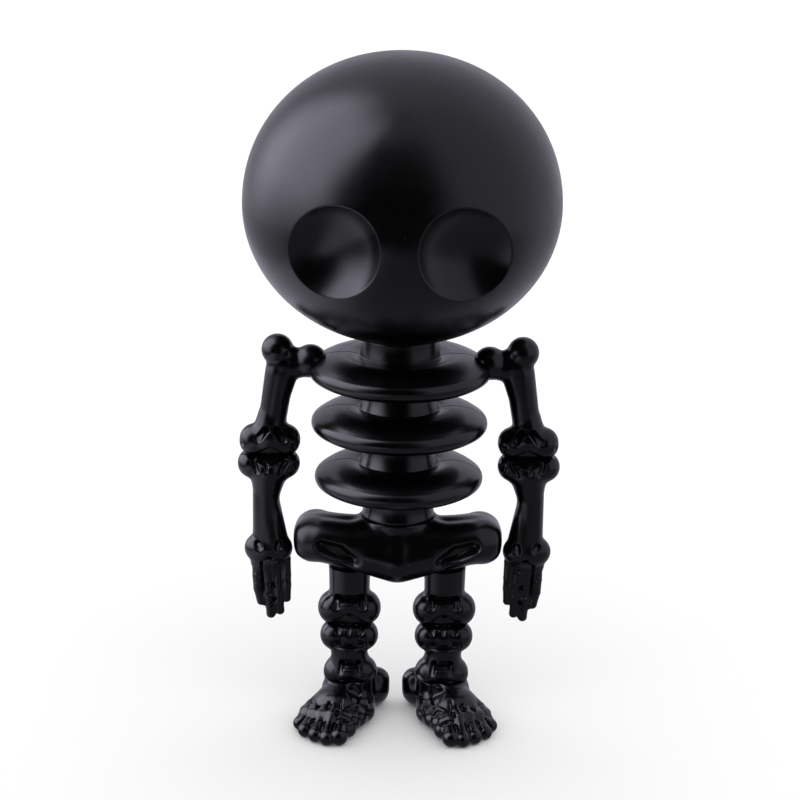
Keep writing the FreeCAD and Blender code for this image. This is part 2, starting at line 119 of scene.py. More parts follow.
def blackVinyl(name, shift=0.0):
    # satin black vinyl: uneven gloss, a faint moulded skin and a few specks of dust
    material, tree, shader = newMaterial(name)
    where = tree.nodes.new("ShaderNodeTexCoord")
    mottle = noiseNode(tree, where, vinyl["mottle"], 4.0, 0.6)
    rough = vinyl["roughness"] + shift
    spread = vinyl["roughSpread"]
    gloss = rangeNode(tree, mottle.outputs["Fac"], *vinyl["mottleRange"], rough - spread, rough + spread)
    tree.links.new(gloss, shader.inputs["Roughness"])

    dust = tree.nodes.new("ShaderNodeTexVoronoi")
    dust.inputs["Scale"].default_value = vinyl["dustPerMetre"]
    tree.links.new(where.outputs["Object"], dust.inputs["Vector"])
    speck = rangeNode(tree, dust.outputs["Distance"], *vinyl["speckEdge"], 1.0, 0.0)
    patch = noiseNode(tree, where, vinyl["dustPatches"], 0.0)
    rare = rangeNode(tree, patch.outputs["Fac"], *vinyl["dustWhere"], 0.0, vinyl["dustCover"])
    both = tree.nodes.new("ShaderNodeMath")
    both.operation = "MULTIPLY"
    tree.links.new(speck, both.inputs[0])
    tree.links.new(rare, both.inputs[1])

    tint = tree.nodes.new("ShaderNodeMix")
    tint.data_type = "RGBA"
    tint.inputs["A"].default_value = (*vinyl["colour"], 1)
    tint.inputs["B"].default_value = (*vinyl["worn"], 1)
    tree.links.new(mottle.outputs["Fac"], tint.inputs["Factor"])
    dusty = tree.nodes.new("ShaderNodeMix")
    dusty.data_type = "RGBA"
    dusty.inputs["B"].default_value = (*vinyl["dust"], 1)
    tree.links.new(both.outputs["Value"], dusty.inputs["Factor"])
    tree.links.new(tint.outputs["Result"], dusty.inputs["A"])
    tree.links.new(dusty.outputs["Result"], shader.inputs["Base Color"])

    peel = noiseNode(tree, where, vinyl["orangePeel"], 3.0, 0.55)
    bump = tree.nodes.new("ShaderNodeBump")
    bump.inputs["Strength"].default_value = vinyl["peelStrength"]
    bump.inputs["Distance"].default_value = vinyl["peelHeight"]
    tree.links.new(peel.outputs["Fac"], bump.inputs["Height"])
    tree.links.new(bump.outputs["Normal"], shader.inputs["Normal"])
    shader.inputs["Specular IOR Level"].default_value = vinyl["specular"]
    return material


headVinyl = blackVinyl("head vinyl", 0.02)
bodyVinyl = blackVinyl("body vinyl")
limbVinyl = blackVinyl("limb vinyl", -0.02)
jointPlastic = blackVinyl("joint plastic", 0.12)
print("materials made")


# mesh helpers

def meshObject(name, bm, material, smooth=True):
    mesh = bpy.data.meshes.new(name)
    bm.to_mesh(mesh)
    bm.free()
    piece = bpy.data.objects.new(name, mesh)
    bpy.context.scene.collection.objects.link(piece)
    mesh.materials.append(material)
    if smooth:
        mesh.shade_smooth()
    return piece


def finished(piece):
    # keeps the mesh as its modifiers leave it, without them
    depsgraph = bpy.context.evaluated_depsgraph_get()
    mesh = bpy.data.meshes.new_from_object(piece.evaluated_get(depsgraph))
    piece.modifiers.clear()
    old = piece.data
    piece.data = mesh
    bpy.data.meshes.remove(old)


def standsFor(piece, body, node):
    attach(piece, body)
    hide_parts(node)


def outward(bm):
    bmesh.ops.remove_doubles(bm, verts=bm.verts, dist=1e-7)
    bmesh.ops.recalc_face_normals(bm, faces=bm.faces)


def ringOf(bm, edges, radius, rise, centre=(0, 0)):
    # extrudes an open rim to a circle of a given radius, lifted by rise
    grown = bmesh.ops.extrude_edge_only(bm, edges=edges)
    for vert in [v for v in grown["geom"] if isinstance(v, bmesh.types.BMVert)]:
        flat = Vector((vert.co.x - centre[0], vert.co.y - centre[1])).normalized() * radius
        vert.co = Vector((flat.x + centre[0], flat.y + centre[1], vert.co.z + rise))
    return [e for e in grown["geom"] if isinstance(e, bmesh.types.BMEdge)]


def shrunkRim(bm, edges, centre, inset, level):
    # extrudes an open rim a little way in to a flat level: the softened corner of a flat face
    grown = bmesh.ops.extrude_edge_only(bm, edges=edges)
    for vert in [v for v in grown["geom"] if isinstance(v, bmesh.types.BMVert)]:
        flat = Vector((vert.co.x - centre[0], vert.co.y - centre[1]))
        flat *= max(flat.length - inset, 0) / flat.length
        vert.co = Vector((flat.x + centre[0], flat.y + centre[1], level))
    return [e for e in grown["geom"] if isinstance(e, bmesh.types.BMEdge)]


def trimmed(bm, level, keep, centre, pocket=()):
    # cuts a piece flat at a height, keeps what is above (1) or below (-1), and sinks a stepped
    # round pocket in the flat face: pairs of radius and depth
    corner = 0.16 * mm
    cut = bmesh.ops.bisect_plane(
        bm, geom=bm.verts[:] + bm.edges[:] + bm.faces[:], dist=1e-9,
        plane_co=(0, 0, level + corner * keep), plane_no=(0, 0, -keep), clear_outer=True,
    )
    rim = [e for e in cut["geom_cut"] if isinstance(e, bmesh.types.BMEdge)]
    rim = shrunkRim(bm, rim, centre, corner, level)
    depth = 0.0
    for radius, deep in pocket:
        rim = ringOf(bm, rim, radius * mm, 0.0, centre)
        rim = ringOf(bm, rim, radius * mm, (deep - depth) * mm * keep, centre)
        depth = deep
    bmesh.ops.holes_fill(bm, edges=rim, sides=0)


def mirrored(piece, name, material):
    # the same piece for the figure's other side
    bm = bmesh.new()
    bm.from_mesh(piece.data)
    bmesh.ops.scale(bm, vec=(-1, 1, 1), verts=bm.verts)
    bmesh.ops.recalc_face_normals(bm, faces=bm.faces)
    return meshObject(name, bm, material)


# sculpting: overlapping forms under one skin, then marks pressed into it.
# Forms and marks are in millimetres from the piece's own joint, x outward.

def at(base, x, y, z):
    return base + Vector((x, y, z)) * mm


def addBall(bm, base, x, y, z, radius, stretch=(1, 1, 1), turn=(0, 0, 0)):
    spin = Euler([math.radians(a) for a in turn]).to_matrix().to_4x4()
    place = Matrix.Translation(at(base, x, y, z)) @ spin @ Matrix.Diagonal((*stretch, 1))
    bmesh.ops.create_icosphere(bm, subdivisions=4, radius=radius * mm, matrix=place)


def addBar(bm, base, start, end, first, last=None, rounded=True):
    a, b = at(base, *start), at(base, *end)
    way = b - a
    place = Matrix.Translation((a + b) / 2) @ way.to_track_quat("Z", "Y").to_matrix().to_4x4()
    last = first if last is None else last
    bmesh.ops.create_cone(
        bm, cap_ends=True, segments=40, radius1=first * mm, radius2=last * mm, depth=way.length, matrix=place
    )
    if rounded:
        addBall(bm, base, *start, first)
        addBall(bm, base, *end, last)


def relaxed(bm, rounds):
    for _ in range(rounds):
        bmesh.ops.smooth_vert(
            bm, verts=bm.verts, factor=0.5, use_axis_x=True, use_axis_y=True, use_axis_z=True
        )


def skinned(bm, voxel, rounds):
    piece = meshObject("clay", bm, limbVinyl)
    skin = piece.modifiers.new("skin", "REMESH")
    skin.mode = "VOXEL"
    skin.voxel_size = voxel * mm
    finished(piece)
    made = bmesh.new()
    made.from_mesh(piece.data)
    old = piece.data
    bpy.data.objects.remove(piece)
    bpy.data.meshes.remove(old)
    relaxed(made, rounds)
    return made


def smoothStep(share):
    share = np.clip(share, 0, 1)
    return share * share * (3 - 2 * share)


stroke = {
    "reach": 3.5,         # how far off its path, along the push, a stroke still presses
    "fade": 1.0,
    "facing": 0.02,       # skin must look against the push by this much, and is full after faceOver
    "faceOver": 0.3,
    "smallEdge": 1.5,     # hollows with a narrower edge, pushed nearly level, are wedges
    "nearlyLevel": 0.3,
    "wedgeTop": 1.4,
    "wedgeFall": 1.3,
}


def pressed(bm, base, marks):
    # each mark is a soft stroke: the way it is pushed, how deep (less than zero raises it), how
    # wide its edge is, and its path of points with a radius each
    bm.normal_update()
    points = np.array([v.co for v in bm.verts])
    normals = np.array([v.normal for v in bm.verts])
    moved = points.copy()
    for way, depth, edge, path in marks:
        push = np.array(Vector(way).normalized())
        spots = [(np.array(at(base, x, y, z)), r * mm) for x, y, z, r in path]
        if len(spots) == 1:
            spots = spots * 2
        away = np.full(len(points), 1.0)
        sunk = np.zeros(len(points))
        for (a, ra), (b, rb) in zip(spots, spots[1:]):
            line = b - a
            line = line - push * (line @ push)
            offset = points - a
            offset = offset - np.outer(offset @ push, push)
            along = np.clip(offset @ line / max(line @ line, 1e-12), 0, 1)
            gap = np.linalg.norm(offset - np.outer(along, line), axis=1) - (ra + (rb - ra) * along)
            level = (points - (a + np.outer(along, b - a))) @ push
            nearer = gap < away
            sunk = np.where(nearer, level, sunk)
            away = np.where(nearer, gap, away)
        share = smoothStep(0.5 - away / (edge * mm))
        share = share * smoothStep((stroke["reach"] * mm - np.abs(sunk)) / (stroke["fade"] * mm))
        facing = np.clip((-(normals @ push) - stroke["facing"]) / stroke["faceOver"], 0, 1)
        if depth > 0 and abs(push[2]) < stroke["nearlyLevel"] and edge < stroke["smallEdge"]:
            # a small hollow is deepest at its top, so its floor looks up
            top = base.z + max(z + r + edge / 2 for x, y, z, r in path) * mm
            tall = top - base.z - min(z - r - edge / 2 for x, y, z, r in path) * mm
            fall = np.clip((top - points[:, 2]) / tall, 0, 1)
            share = share * (stroke["wedgeTop"] - stroke["wedgeFall"] * fall)
        moved += np.outer(share * facing * depth * mm, push)
    for vert, co in zip(bm.verts, moved):
        vert.co = co


def flattened(bm, centre, radius, level, near):
    # brings the round end of a form to a flat face
    for vert in bm.verts:
        out = math.hypot(vert.co.x - centre[0], vert.co.y - centre[1])
        if out < radius and abs(vert.co.z - level) < near:
            vert.co.z = level


front, back = (0, 1, 0), (0, -1, 0)
fromInside, fromOutside = (1, 0.45, 0), (-1, 0.45, 0)


# head: an egg standing on its narrow end, with two round dishes for eyes

headLow, headHigh = spanOf("head_shell")
head = {
    "radius": (headHigh.x - headLow.x) / 2,
    "crown": 43.0 * mm,
    "chin": 40.0 * mm,
    "dishRadius": 14.2 * mm,
    "dishStretch": (1.09, 0.9),    # towards the brow between the eyes, and across that
    "dishLean": 45.0,
    "dishTurn": -0.8,
    "crownPower": 2.05,
    "dishBall": 20.4 * mm,
    "dishYaw": 24.6,
    "dishDrop": 8.4,
    "rimRound": 0.28 * mm,
    "rimBands": (0.05, 0.022),     # half widths, in head radii, of the finer mesh at the dish rims
    "footRound": 0.3 * mm,
    "wall": 2.5 * mm,
    "holeRadius": 4.08 * mm,
}
headCentre = Vector((0, 0, headHigh.z - head["crown"]))


def dishCentres():
    # each dish's centre with its stretch as a matrix
    away = math.sqrt(head["dishBall"] ** 2 - head["dishRadius"] ** 2)
    away += math.sqrt(head["radius"] ** 2 - head["dishRadius"] ** 2)
    drop = math.radians(head["dishDrop"])
    lean = math.radians(head["dishLean"])
    dishes = []
    for side in (1, -1):
        yaw = math.radians(head["dishYaw"] * side + head["dishTurn"])
        way = Vector((math.cos(drop) * math.sin(yaw), -math.cos(drop) * math.cos(yaw), -math.sin(drop)))
        across = Vector((0, 0, 1)).cross(way).normalized() * side
        rise = Vector((0, 0, 1)) - way * way.z
        rise.normalize()
        brow = rise * math.sin(lean) - across * math.cos(lean)
        shape = Matrix.Identity(3)
        for axis, stretch in zip((brow, way.cross(brow)), head["dishStretch"]):
            shape = shape @ Matrix.Scale(1 / stretch, 3, axis)
        dishes.append((way * away, shape))
    return dishes


def softMin(a, b, blend):
    gap = max(blend - abs(a - b), 0.0) / blend
    return min(a, b) - gap * gap * blend / 4


def headReach(way, wall, centres):
    # distance from the head's centre to its skin along a unit vector
    broad = head["radius"] - wall
    tall = (head["crown"] if way.z > 0 else head["chin"]) - wall
    across = math.hypot(way.x, way.y) / broad
    power = head["crownPower"] if way.z > 0 else 2.0
    reach = (across ** power + abs(way.z / tall) ** power) ** (-1 / power)
    for centre, shape in centres:
        ray = shape @ way
        along = ray.dot(centre)
        size = ray.length_squared
        inside = along * along - size * (centre.length_squared - (head["dishBall"] + wall) ** 2)
        if inside > 0 and along > 0:
            reach = softMin(reach, (along - math.sqrt(inside)) / size, head["rimRound"])
    return reach


def headSkin(subdivisions, wall, floor):
    bm = bmesh.new()
    bmesh.ops.create_icosphere(bm, subdivisions=subdivisions, radius=1.0)
    centres = dishCentres()
    if wall == 0:
        rim = head["dishRadius"] / head["radius"]
        for spread in head["rimBands"]:
            near = []
            for edge in bm.edges:
                middle = (edge.verts[0].co + edge.verts[1].co).normalized()
                for centre, shape in centres:
                    flat = shape @ (middle - middle.project(centre))
                    if middle.dot(centre) > 0 and abs(flat.length - rim) < spread:
                        near.append(edge)
            bmesh.ops.subdivide_edges(bm, edges=near, cuts=1, use_grid_fill=False)
            bmesh.ops.triangulate(bm, faces=[f for f in bm.faces if len(f.verts) > 3])
    for vert in bm.verts:
        way = vert.co.normalized()
        vert.co = way * headReach(way, wall, centres) + headCentre
    cut = bmesh.ops.bisect_plane(
        bm, geom=bm.verts[:] + bm.edges[:] + bm.faces[:], dist=1e-9,
        plane_co=(0, 0, floor), plane_no=(0, 0, -1), clear_outer=True,
    )
    return bm, [e for e in cut["geom_cut"] if isinstance(e, bmesh.types.BMEdge)]


def makeHead():
    corner = head["footRound"]
    outer, rim = headSkin(7, 0.0, headLow.z + corner)
    rim = shrunkRim(outer, rim, (0, 0), corner, headLow.z)
    rim = ringOf(outer, rim, head["holeRadius"], 0.0)
    ringOf(outer, rim, head["holeRadius"], head["wall"])
    inner, _ = headSkin(5, head["wall"], headLow.z + head["wall"])
    bmesh.ops.reverse_faces(inner, faces=inner.faces)
    innerMesh = bpy.data.meshes.new("innerSkin")
    inner.to_mesh(innerMesh)
    inner.free()
    outer.from_mesh(innerMesh)
    bpy.data.meshes.remove(innerMesh)
    bmesh.ops.bridge_loops(outer, edges=[e for e in outer.edges if e.is_boundary])
    bmesh.ops.remove_doubles(outer, verts=outer.verts, dist=1e-7)
    standsFor(meshObject("headShell", outer, headVinyl), "head", "head_shell")


makeHead()
print("head made")


# torso: collar, three ribs like lenses and a spine, turned as two hollow halves

torsoLow, torsoHigh = spanOf("torso_back_shell")
neckLow = spanOf("neck_plug")[0]
waistHigh = spanOf("waist_plug")[1]
torso = {
    "neckRadius": 11.3,
    "collarRound": 0.25,
    "collarHollow": 3,    # the hollow above the top rib, against the others
    "spineTop": 10.5,
    "spineFoot": 11.7,
    "waistRadius": 10.8,
    "waistNarrow": 0.4,
    "waistHollow": 14.0,
    "spineHollow": 12.5,
    "ribs": [(26.6, 10.2), (25.75, 26.1), (24.7, 42.8)],    # radius, depth below the collar's top
    "ribRise": 4.5,
    "ribCrest": 5.05,
    "crestRadius": 16.5,
    "ribFall": 4.5,
    "ribEdgeHalf": 4.2,
    "ribSlope": 6.6,
    "crestBow": 11.0,
    "slopeBow": 13.0,
    "footBow": 40.0,
    "rimHalf": 2.2,
    "rimRound": 2.5,
    "bore": 4.08,
    "flange": 5.7,
    "hollow": 7.5,
    "wall": 2.5,
    "throat": 1.0,
    "waistSeat": (-1.62, 0.12),     # the plug's groove, from the flange's top
    "neckSeat": (-0.02, 1.52),      # and from the flange's foot
    "partingGap": 0.03,
    "partingBevel": 0.17,
    "partingFrom": 8.5,
    "turns": 150,
}


def arcBetween(start, end, radius, steps):
    # points after start up to end on an arc that bulges out, or in for a radius below zero
    a, b = Vector(start), Vector(end)
    chord = b - a
    away = math.sqrt(max(radius * radius - chord.length_squared / 4, 0))
    side = Vector((chord.y, -chord.x)) / chord.length
    centre = (a + b) / 2 + side * (away if radius > 0 else -away)
    first = math.atan2(a.y - centre.y, a.x - centre.x)
    sweep = math.atan2(b.y - centre.y, b.x - centre.x) - first
    sweep = (sweep + math.pi) % (2 * math.pi) - math.pi
    reach = (a - centre).length
    turns = [first + sweep * n / steps for n in range(1, steps + 1)]
    return [(centre.x + reach * math.cos(t), centre.y + reach * math.sin(t)) for t in turns]


def torsoOutline():
    # radius and height from the collar's top, down the outside and back up the bore
    deepest = (torsoLow.z - torsoHigh.z) / mm
    corner = torso["collarRound"]
    rows = [(torso["neckRadius"] - corner, 0.0), (torso["neckRadius"], -corner)]
    half = torso["rimHalf"]
    inset = torso["rimRound"] - math.sqrt(torso["rimRound"] ** 2 - half ** 2)
    for number, (radius, level) in enumerate(torso["ribs"]):
        edge = radius - torso["ribSlope"]
        hollow = torso["spineHollow"] * (torso["collarHollow"] if number == 0 else 1)
        rows += arcBetween(rows[-1], (torso["spineFoot"], torso["ribRise"] - level), -hollow, 18)
        rows += arcBetween(rows[-1], (torso["crestRadius"], torso["ribCrest"] - level), torso["crestBow"], 8)
        rows += arcBetween(rows[-1], (radius - inset, half - level), torso["slopeBow"], 18)
        rows += arcBetween(rows[-1], (radius - inset, -level - half), torso["rimRound"], 12)
        rows += arcBetween(rows[-1], (edge, -level - torso["ribEdgeHalf"]), torso["slopeBow"], 14)
        inner = torso["waistRadius"] - torso["waistNarrow"] if number == 2 else torso["spineTop"]
        rows += arcBetween(rows[-1], (inner, -level - torso["ribFall"]), torso["footBow"], 8)
    rows += arcBetween(rows[-1], (torso["waistRadius"], deepest + corner), -torso["waistHollow"], 14)
    rows.append((torso["waistRadius"] - corner, deepest))
    waistFlange = (waistHigh.z - torsoHigh.z) / mm
    neckFlange = (neckLow.z - torsoHigh.z) / mm
    waistFoot, waistTop = [waistFlange + offset for offset in torso["waistSeat"]]
    neckFoot, neckTop = [neckFlange + offset for offset in torso["neckSeat"]]
    rows += [
        (torso["bore"], deepest),
        (torso["bore"], waistFoot),
        (torso["flange"], waistFoot),
        (torso["flange"], waistTop),
        (torso["throat"], waistTop),
        (torso["throat"], waistFlange + torso["wall"]),
        (torso["hollow"], waistFlange + torso["wall"]),
        (torso["hollow"], neckFlange - torso["wall"]),
        (torso["throat"], neckFlange - torso["wall"]),
        (torso["throat"], neckFoot),
        (torso["flange"], neckFoot),
        (torso["flange"], neckTop),
        (torso["bore"], neckTop),
        (torso["bore"], 0.0),
    ]
    return rows


def torsoHalf(name, side):
    bm = bmesh.new()
    rows = torsoOutline()
    verts = [bm.verts.new((x * mm, 0, z * mm + torsoHigh.z)) for x, z in rows]
    edges = [bm.edges.new((a, b)) for a, b in zip(verts, verts[1:] + verts[:1])]
    first = bmesh.ops.contextual_create(bm, geom=edges)["faces"]
    bmesh.ops.spin(
        bm, geom=first + edges + verts, cent=(0, 0, 0), axis=(0, 0, 1), angle=math.pi * side,
        steps=torso["turns"], use_merge=False, use_duplicate=False,
    )
    outward(bm)
    flats = [f for f in bm.faces if len(f.verts) > 8]
    outside = torso["partingFrom"] * mm
    seam = [e for f in flats for e in f.edges if min(math.hypot(v.co.x, v.co.y) for v in e.verts) > outside]
    bmesh.ops.bevel(
        bm, geom=seam, offset=torso["partingBevel"] * mm, offset_type="OFFSET", affect="EDGES",
        segments=2, profile=0.5, material=-1, clamp_overlap=True,
    )
    bmesh.ops.translate(bm, verts=bm.verts, vec=(0, torso["partingGap"] * mm * side, 0))
    return meshObject(name, bm, bodyVinyl)


shoulder = {"ball": 5.2, "stem": 1.18, "flange": 1.78, "flangeThick": 1.44, "play": 0.12}


def shoulderSpace():
    # what the arm's ball and its plug need in the rim of the upper rib, both sides
    bm = bmesh.new()
    for side in ("left", "right"):
        place = jointPlace["shoulder_" + side + "_swing"]
        low, high = spanOf("shoulder_plug_" + side)
        sign = 1 if place.x > 0 else -1
        inner = min(abs(low.x), abs(high.x)) / mm
        reach = abs(place.x) / mm
        start = math.sqrt(shoulder["ball"] ** 2 - shoulder["stem"] ** 2)
        rows = [(0.0, -shoulder["ball"])]
        for end in ((shoulder["ball"], 0.0), (shoulder["stem"], start)):
            rows += arcBetween(rows[-1], end, shoulder["ball"] + 1e-6, 16)
        far = reach - inner + shoulder["play"]
        rows += [
            (shoulder["stem"], far - shoulder["flangeThick"]),
            (shoulder["flange"], far - shoulder["flangeThick"]),
            (shoulder["flange"], far),
            (0.0, far),
        ]
        verts = [bm.verts.new((x * mm, 0, z * mm)) for x, z in rows]
        edges = [bm.edges.new((a, b)) for a, b in zip(verts, verts[1:])]
        bmesh.ops.spin(
            bm, geom=verts + edges, cent=(0, 0, 0), axis=(0, 0, 1), angle=2 * math.pi,
            steps=48, use_merge=True, use_duplicate=False,
        )
        mine = [v for v in bm.verts if not v.tag]
        turn = Matrix.Translation(place) @ Matrix.Rotation(math.radians(-90 * sign), 4, "Y")
        bmesh.ops.transform(bm, matrix=turn, verts=mine)
        for vert in mine:
            vert.tag = True
    outward(bm)
    return meshObject("shoulderSpace", bm, bodyVinyl)


def makeTorso():
    space = shoulderSpace()
    halves = (("torsoFront", -1, "torso_front_shell"), ("torsoBack", 1, "torso_back_shell"))
    for name, side, node in halves:
        piece = torsoHalf(name, side)
        cut = piece.modifiers.new("shoulders", "BOOLEAN")
        cut.operation = "DIFFERENCE"
        cut.solver = "EXACT"
        cut.object = space
        finished(piece)
        for face in piece.data.polygons:
            face.use_smooth = len(face.vertices) < 9
        standsFor(piece, "torso", node)
    bpy.data.objects.remove(space)


makeTorso()
print("torso made")


# pelvis: a hub between two rolled wings, with an oval pocket in the front of each

pelvis = {
    "voxel": 0.3,
    "hubRadius": 11.3,
    "hubTaper": 1.5,
    "hubFlat": 10.9,
    "hubGuard": 11.6,     # inside this nothing stands above the waist's face
    "legRadius": (6.3, 6.0),
    "legTop": 54,
    "legFlat": 5.8,
    "flatNear": 0.5,
    "gap": 0.2,
    "squashFrom": 0.94,
    "drop": 0.9,
    "reach": 31.3,    # nothing stands further than this from the waist's axis, so wrists pass
    "balls": [(0, 5.0, 54.2, 6.8, (1.2, 1, 1))],
    "bars": [
        ((24.7, -3.8, 57.5), (24.4, 4.6, 56.8), 6.9, 6.9),
        ((2.0, -5.4, 55.8), (22.5, -4.9, 57.6), 6.4, 6.6),
        ((2.0, 4.4, 54.8), (22.5, 4.6, 56.4), 6.0, 6.6),
        ((2.0, -0.4, 57.0), (23.0, -0.2, 57.8), 6.4, 6.6),
        ((0.5, -6.0, 52.4), (9.0, -5.6, 55.0), 6.7, 6.0),
        ((9.0, -5.6, 55.0), (23.0, -4.4, 57.2), 6.0, 5.5),
        ((0.0, -3.0, 60.0), (0.0, -7.0, 52.6), 8.0, 7.0),
        ((0.0, -3.8, 58.6), (15.0, -4.8, 56.6), 7.5, 6.6),
        ((0.0, -6.7, 52.5), (10.5, -5.5, 54.6), 7.0, 6.4),
        ((14.2, 0.0, 54.0), (24.0, 0.0, 56.6), 6.4, 7.2),
    ],
    "marks": [
        (front, 3.2, 2.8, [(22.4, -10, 57.9, 1.2), (17.4, -10, 55.8, 2.1), (12.6, -10, 53.2, 1.1)]),
        (back, 1.8, 1.2, [(23.0, 10, 57.5, 2.0), (16.0, 10, 55.6, 2.6)]),
    ],
}


def makePelvis():
    low = spanOf("pelvis")[0]
    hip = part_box("thigh_left")[1].z + pelvis["gap"] * mm
    waist = torsoLow.z - pelvis["gap"] * mm
    hipX = jointPlace["hip_left_swivel"].x
    bm = bmesh.new()
    hubFoot, hubTop = (0, 0, hip / mm + 2), (0, 0, waist / mm + 0.8)
    addBar(bm, origin, hubFoot, hubTop, pelvis["hubRadius"] - pelvis["hubTaper"], pelvis["hubRadius"], False)
    base = Vector((0, 0, -pelvis["drop"] * mm))
    for x, y, z, radius, stretch in pelvis["balls"]:
        addBall(bm, base, x, y, z, radius, stretch)
    for side in (1, -1):
        for start, end, first, last in pelvis["bars"]:
            addBar(bm, base, (start[0] * side, *start[1:]), (end[0] * side, *end[1:]), first, last)
        legX = hipX / mm * side
        addBar(bm, origin, (legX, 0, pelvis["legTop"]), (legX, 0, hip / mm), *pelvis["legRadius"], False)
    bm = skinned(bm, 0.45, 16)
    bm = skinned(bm, pelvis["voxel"], 5)
    marks = list(pelvis["marks"])
    for way, depth, edge, path in pelvis["marks"]:
        turned = (-way[0], way[1], way[2])
        marks.append((turned, depth, edge, [(-x, y, z, r) for x, y, z, r in path]))
    pressed(bm, base, marks)
    relaxed(bm, 3)
    near = pelvis["flatNear"] * mm
    flattened(bm, (0, 0), pelvis["hubFlat"] * mm, waist, near)
    for side in (1, -1):
        flattened(bm, (hipX * side, 0), pelvis["legFlat"] * mm, hip, near)
    begin = pelvis["squashFrom"]
    room = 0.06    # what is left from there to the reach
    for vert in bm.verts:
        if math.hypot(vert.co.x, vert.co.y) < pelvis["hubGuard"] * mm:
            vert.co.z = min(vert.co.z, waist)
        vert.co.z = max(vert.co.z, low.z)
        out = math.hypot(vert.co.x, vert.co.y) / (pelvis["reach"] * mm)
        if out > begin:
            kept = (begin + room * math.tanh((out - begin) / room)) / out
            vert.co.x *= kept
            vert.co.y *= kept
    standsFor(meshObject("pelvisBasin", bm, bodyVinyl), "pelvis", "pelvis")


makePelvis()
print("pelvis made")


# arms

upperArm = {
    "voxel": 0.2,
    "balls": [
        (-12.2, 0, 28.2, 4.98, (1, 1, 1)),
        (-2.6, 0, 31.5, 4.75, (1, 1, 1)),
        (-4.4, 0, 27.4, 4.4, (1.15, 1.02, 1)),
        (-4.9, 0, 4.2, 4.5, (1, 1, 1.05)),
        (4.2, 0, 4.2, 4.5, (1, 1, 1.05)),
    ],
    "bars": [
        ((-12.0, 0, 27.6), (-4.2, 0, 26.2), 3.8, 4.2),
        ((-8.5, 0, 28.6), (-4.2, 0, 29.2), 3.4, 3.9),
        ((-3.4, 0, 25.5), (-1.2, 0, 11.0), 4.4, 4.1),
        ((-4.4, 0, 25.0), (-2.6, 0, 19.0), 4.4, 4.2),
        ((-0.8, 0, 11.5), (-0.3, 0, 5.5), 4.1, 5.7),
        ((-1.2, 0, 11.0), (-0.3, 0, 5.0), 4.1, 4.6),
        ((-4.7, 0, 3.6), (4.2, 0, 3.6), 4.5, 4.5),
    ],
    "marks": [
        (front, 2.2, 0.9, [
            (-5.0, -4, -0.1, 0.7), (-2.2, -4, 0.6, 1.2), (-0.5, -4, 1.2, 1.6),
            (1.4, -4, 0.6, 1.2), (4.0, -4, -0.1, 0.7),
        ]),
        (front, 2.0, 0.7, [(0.8, -4, 8.2, 0.8), (2.9, -4, 5.4, 1.0)]),
        (front, 2.0, 0.7, [(-2.6, -4, 8.1, 0.8), (-4.5, -4, 5.2, 1.0)]),
        (front, 1.2, 0.6, [(-2.4, -4, 8.5, 0.7), (0.6, -4, 8.5, 0.7)]),
        (fromInside, 1.5, 1.0, [(-6.9, -3, 7.6, 0.9), (-6.6, -3, 6.4, 1.1)]),
        (fromInside, 1.2, 0.9, [(-8.0, -3, 2.6, 0.9)]),
        (fromOutside, 0.8, 1.0, [(7.6, -2, 3.2, 0.8)]),
        (back, 1.9, 1.0, [(-2.4, 4, 6.6, 1.5), (1.8, 4, 6.6, 1.5)]),
        (back, 1.6, 0.9, [(-4.2, 4, 0.2, 0.6), (-0.4, 4, 0.7, 1.4), (3.4, 4, 0.2, 0.6)]),
    ],
}
forearm = {
    "voxel": 0.2,
    "balls": [
        (-4.7, 0, -3.2, 4.5, (1, 1, 1)),
        (4.8, 0, -3.2, 4.5, (1, 1, 1)),
        (0, 0, -5.2, 4.5, (1.6, 1, 1)),
        (0.2, 0, -29.7, 5.2, (1.4, 0.98, 1.05)),
        (0.1, 0.1, -34.2, 3.5, (1.6, 0.95, 1.2)),
    ],
    "bars": [
        ((-4.8, 0, -3.0), (4.8, 0, -3.0), 4.45, 4.45),
        ((0, 0, -5.0), (0.7, 0, -12.5), 5.9, 4.0),
        ((0.2, 0, -17.0), (-1.0, 0, -28.0), 3.8, 4.9),
        ((0.9, 0, -11.5), (0.5, 0, -27.0), 3.95, 4.4),
        ((0.1, 0, -33.0), (-0.2, 0.1, -42.0), 3.4, 2.2),
    ],
    "marks": [
        (front, 2.3, 0.9, [
            (-5.2, -4, 0.1, 0.7), (-2.4, -4, -0.6, 1.2), (0.1, -4, -1.2, 1.5),
            (2.6, -4, -0.6, 1.2), (5.2, -4, 0.1, 0.7),
        ]),
        (front, 1.1, 0.6, [(0.4, -4, -2.8, 0.3), (0.4, -4, -4.8, 0.2)]),
        (front, 1.5, 0.8, [(-5.0, -4, -1.9, 0.75), (-3.6, -4, -4.7, 0.6)]),
        (front, 1.4, 0.8, [(4.1, -4, -1.9, 0.7), (3.1, -4, -4.5, 0.55)]),
        (fromInside, 1.1, 0.8, [(-8.1, -3, -2.4, 0.6), (-6.9, -3, -4.4, 0.5)]),
        (back, 1.6, 0.9, [(-3.0, 4, -0.6, 1.1), (3.0, 4, -0.6, 1.1)]),
        (back, 0.9, 0.8, [(0, 4, -3.4, 0.5), (0, 4, -7.5, 0.3)]),
        (front, 1.6, 0.9, [(3.1, -4.8, -27.2, 0.85), (2.7, -4.8, -28.2, 0.9)]),
        (front, 1.6, 0.9, [(-3.0, -4.8, -27.0, 0.8), (-2.9, -4.8, -28.4, 1.0)]),
        (back, 1.2, 0.9, [(2.6, 4.8, -28.0, 0.9)]),
        (back, 1.2, 0.9, [(-2.4, 4.8, -28.0, 0.9)]),
    ],
}
